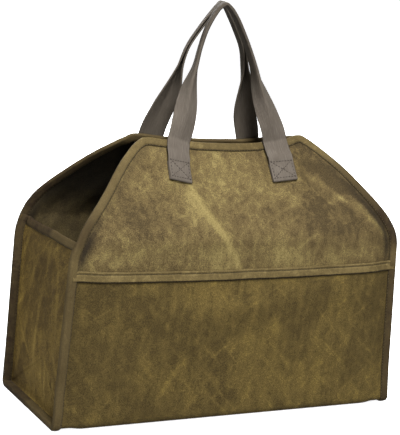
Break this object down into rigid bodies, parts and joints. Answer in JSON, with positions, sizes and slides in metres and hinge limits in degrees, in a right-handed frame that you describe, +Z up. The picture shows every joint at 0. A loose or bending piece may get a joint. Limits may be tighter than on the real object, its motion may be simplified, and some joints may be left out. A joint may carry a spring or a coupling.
{
  "type": "canvas log carrier",
  "caption": "Upright carrier of waxed canvas for firewood: a boxed base with end panels, two tapered flaps bound with tape, and two webbing handles folded at the grip.",
  "frame": {"origin": "middle of the flat base, on the surface that the carrier stands on", "axes": "+X along the logs towards the right end, +Y towards the back, +Z up"},
  "size_m": [0.5214, 0.2021, 0.5548],
  "materials": {
    "canvas_lower": "waxed olive-brown canvas, darker and worn",
    "canvas_upper": "waxed olive canvas, lighter, with rubbed creases",
    "canvas_end": "waxed brown canvas with upright creases",
    "tape": "folded canvas tape, stitched along its edge",
    "webbing": "taupe woven cotton webbing",
    "thread": "dark brown sewing thread"
  },
  "bodies": {
    "root": {"lower_body": "canvas_lower", "front_flap": "canvas_upper", "back_flap": "canvas_upper", "left_end_panel": "canvas_end", "right_end_panel": "canvas_end", "front_band": "canvas_upper", "back_band": "canvas_upper", "front_flap_binding": "tape", "back_flap_binding": "tape", "left_seam_binding": "tape", "right_seam_binding": "tape", "left_end_binding": "tape", "right_end_binding": "tape", "front_handle": "webbing", "back_handle": "webbing"}
  },
  "joints": []
}
